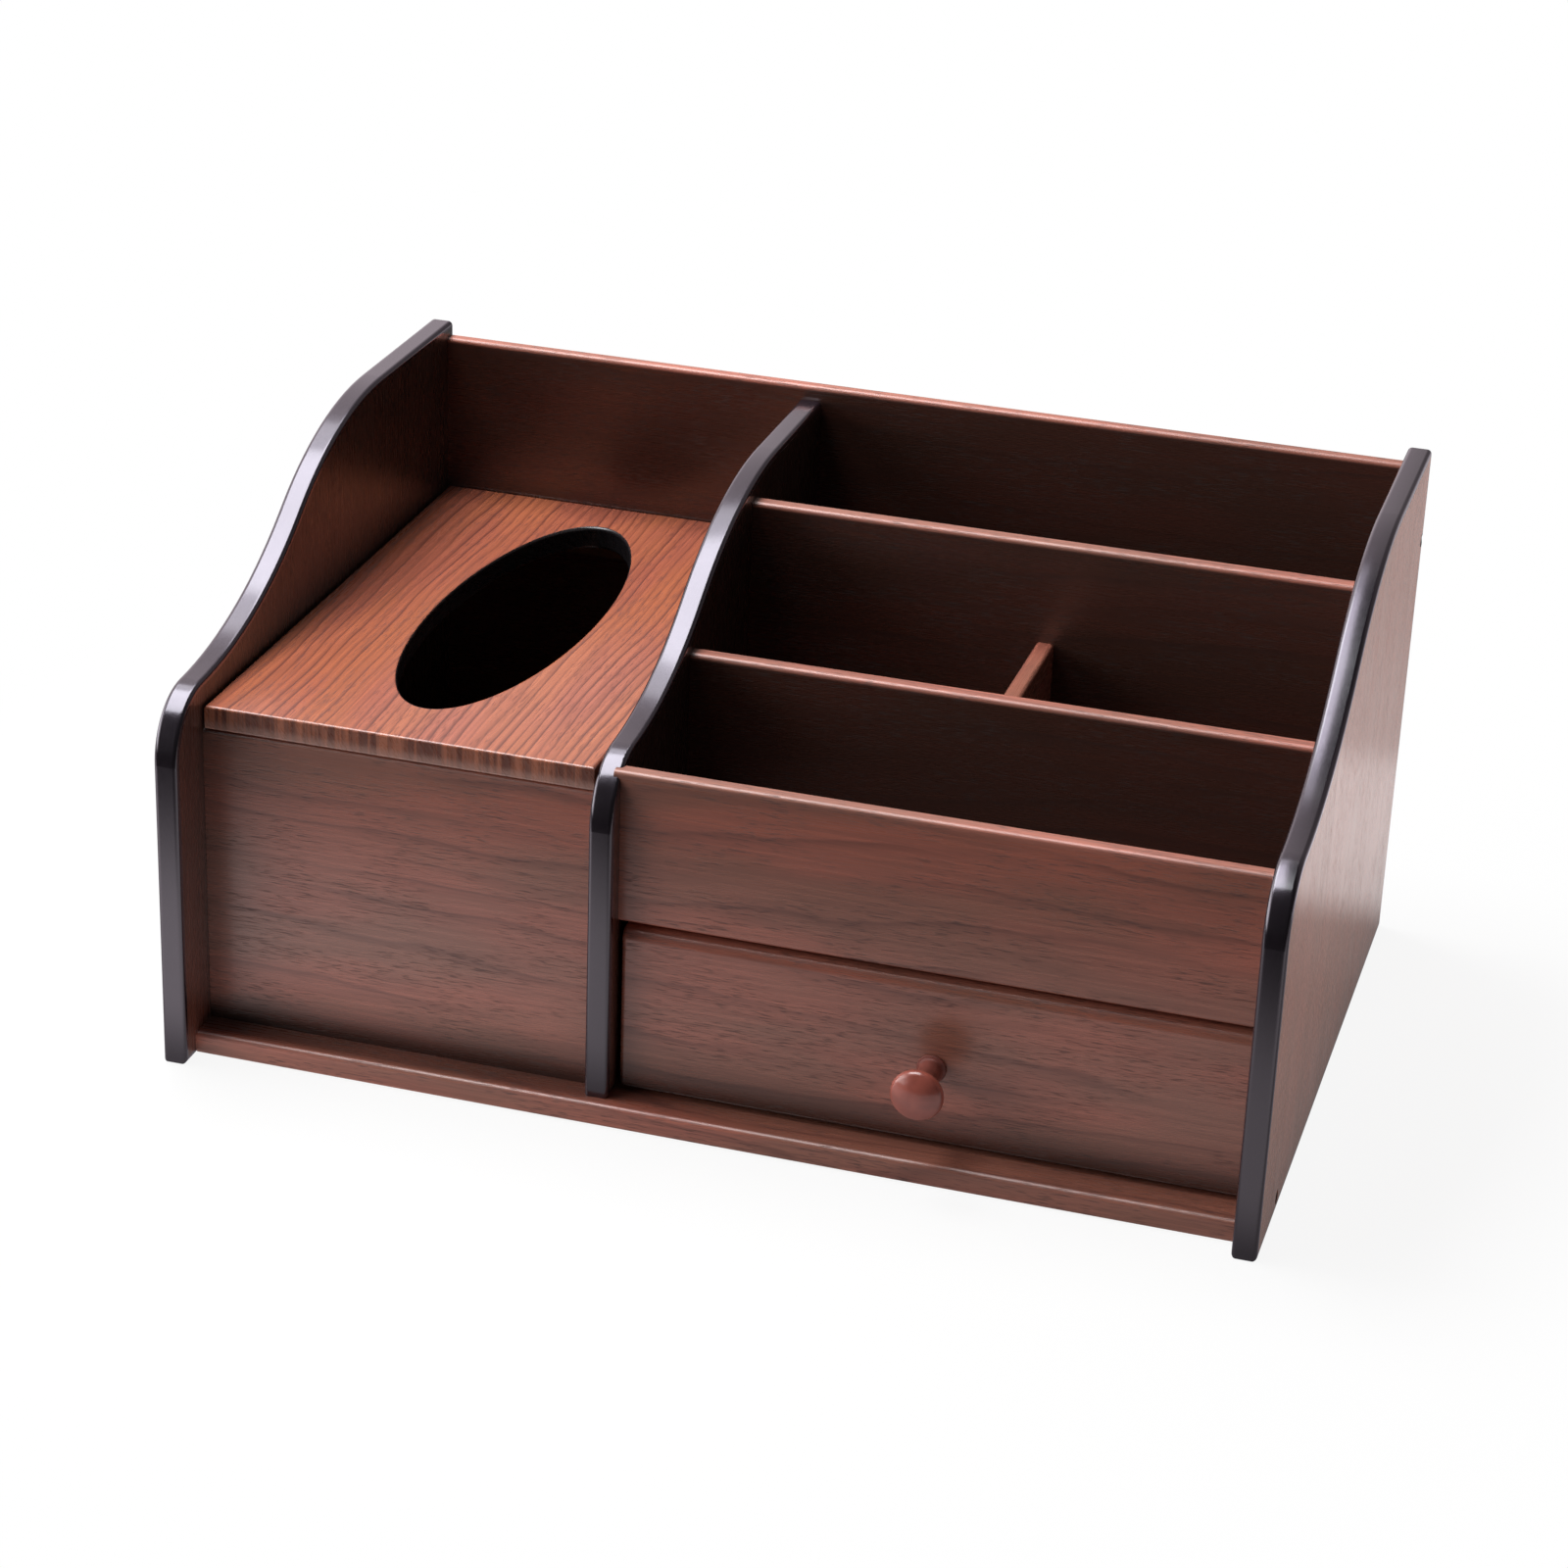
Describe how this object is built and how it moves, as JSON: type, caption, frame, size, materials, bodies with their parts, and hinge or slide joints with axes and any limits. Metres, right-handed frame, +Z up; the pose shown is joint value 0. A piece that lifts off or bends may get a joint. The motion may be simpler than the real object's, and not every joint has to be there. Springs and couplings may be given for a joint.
{
  "type": "tissue box with drawer",
  "caption": "Wooden desk organiser with a lift-off tissue lid with an oval hole, open compartments, S-curved side panels and a drawer with a round knob.",
  "frame": {"origin": "middle of the case's footprint, on the surface it stands on", "axes": "+X to the right along the front, +Y to the back, +Z up; the drawer and the low ends of the side panels face -Y"},
  "size_m": [0.36, 0.2416, 0.18],
  "materials": {
    "dark_walnut_film": "satin walnut-print film on fibreboard, grain along the boards",
    "panel_walnut_film": "satin walnut-print film on fibreboard, upright grain, edges painted satin black",
    "lid_film": "lighter orange-brown walnut-print film, grain front to back",
    "bare_batten": "bare softwood",
    "fibreboard": "thin brown hardboard",
    "knob_lacquer": "turned wood, glossy red-brown lacquer",
    "screw_steel": "dark plated steel"
  },
  "bodies": {
    "case": {"base_board": "dark_walnut_film", "left_side_panel": "panel_walnut_film", "right_side_panel": "panel_walnut_film", "middle_divider": "panel_walnut_film", "back_panel": "dark_walnut_film", "tissue_front_panel": "dark_walnut_film", "lid_rear_batten": "bare_batten", "fascia_panel": "dark_walnut_film", "front_partition": "dark_walnut_film", "rear_partition": "dark_walnut_film", "compartment_shelf": "dark_walnut_film", "short_divider": "dark_walnut_film", "base_to_side_screws": "screw_steel", "back_to_side_screws": "screw_steel", "back_to_base_screws": "screw_steel", "divider_base_screws": "screw_steel", "divider_back_screws": "screw_steel"},
    "lid": {"tissue_lid": "lid_film", "lid_locating_batten": "bare_batten"},
    "drawer": {"drawer_front": "dark_walnut_film", "drawer_left_side": "dark_walnut_film", "drawer_right_side": "dark_walnut_film", "drawer_back": "dark_walnut_film", "drawer_floor": "fibreboard", "drawer_brads": "screw_steel", "drawer_knob": "knob_lacquer", "knob_screw": "screw_steel"}
  },
  "joints": [
    {"name": "lid_lift", "type": "slide", "parent": "case", "child": "lid", "axis": [0, 0, 1], "range_m": [0, 0.085]},
    {"name": "drawer_slide", "type": "slide", "parent": "case", "child": "drawer", "axis": [0, -1, 0], "range_m": [0, 0.15]}
  ]
}
